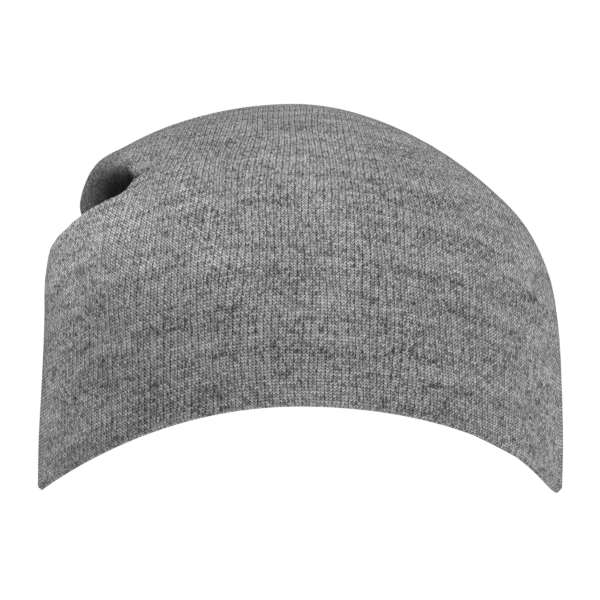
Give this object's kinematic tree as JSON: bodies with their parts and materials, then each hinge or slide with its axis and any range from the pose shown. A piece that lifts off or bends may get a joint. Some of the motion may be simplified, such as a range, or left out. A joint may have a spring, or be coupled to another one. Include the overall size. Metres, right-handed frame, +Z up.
{
  "type": "slouchy beanie",
  "caption": "Soft knitted slouchy beanie, open at the hem, in its worn shape: arched over the brow, with the tip flopped back over a deep buckled fold.",
  "frame": {"origin": "middle of the head opening, level with the hem over the ears", "axes": "-Y through the brow, +Y through the nape, +X to the wearer's left, +Z up to the crown"},
  "size_m": [0.1802, 0.2362, 0.133],
  "materials": {
    "grey_knit": "matt fine-gauge stocking stitch in heathered grey yarn"
  },
  "bodies": {
    "root": {"knit_shell": "grey_knit"}
  },
  "joints": []
}
